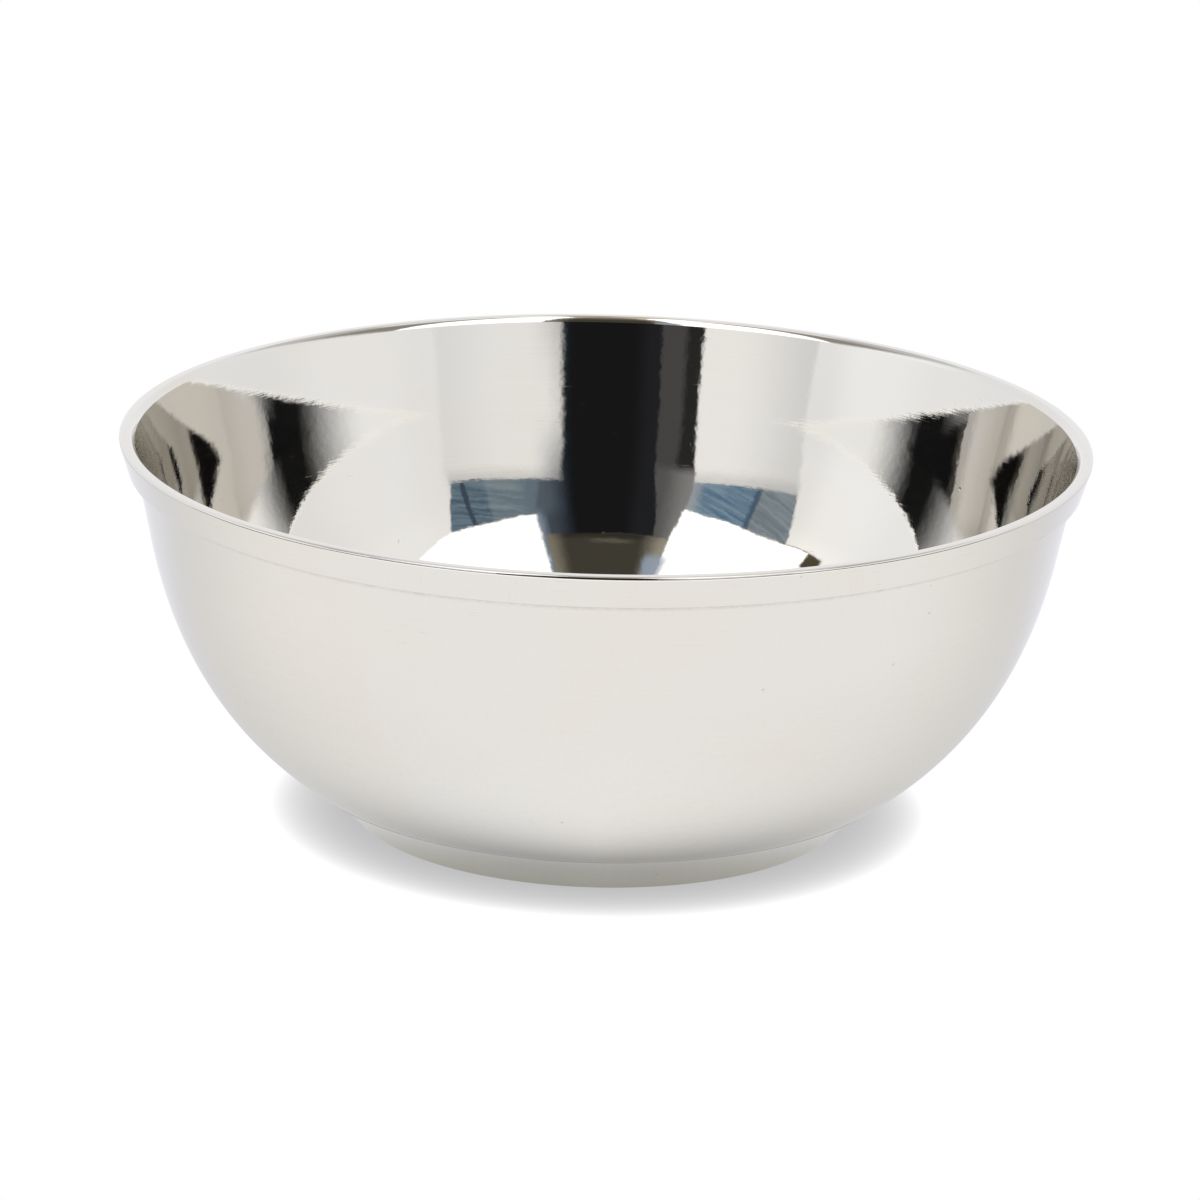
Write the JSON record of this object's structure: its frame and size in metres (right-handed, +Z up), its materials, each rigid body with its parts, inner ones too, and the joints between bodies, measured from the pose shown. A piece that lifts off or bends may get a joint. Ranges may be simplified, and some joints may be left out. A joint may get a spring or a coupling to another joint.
{
  "type": "offering bowl",
  "caption": "Round polished white-metal offering bowl with a thin deep shell, a rounded band around the lip and a low flared foot ring, soldered together.",
  "frame": {"origin": "centre of the foot ring's underside, where the bowl stands on the table", "axes": "+Z up along the bowl's turning axis; X and Y are level and interchangeable, and the picture looks along +Y from the -Y side"},
  "size_m": [0.12, 0.12, 0.0482],
  "materials": {
    "polished_shell": "mirror polish with faint hand-polishing marks",
    "polished_band": "bright polish",
    "polished_foot": "polish with fine turning lines",
    "solder": "satin"
  },
  "bodies": {
    "root": {"bowl_shell": "polished_shell", "rim_band": "polished_band", "foot_ring": "polished_foot", "rim_solder": "solder", "foot_solder_outer": "solder", "foot_solder_inner": "solder"}
  },
  "joints": []
}
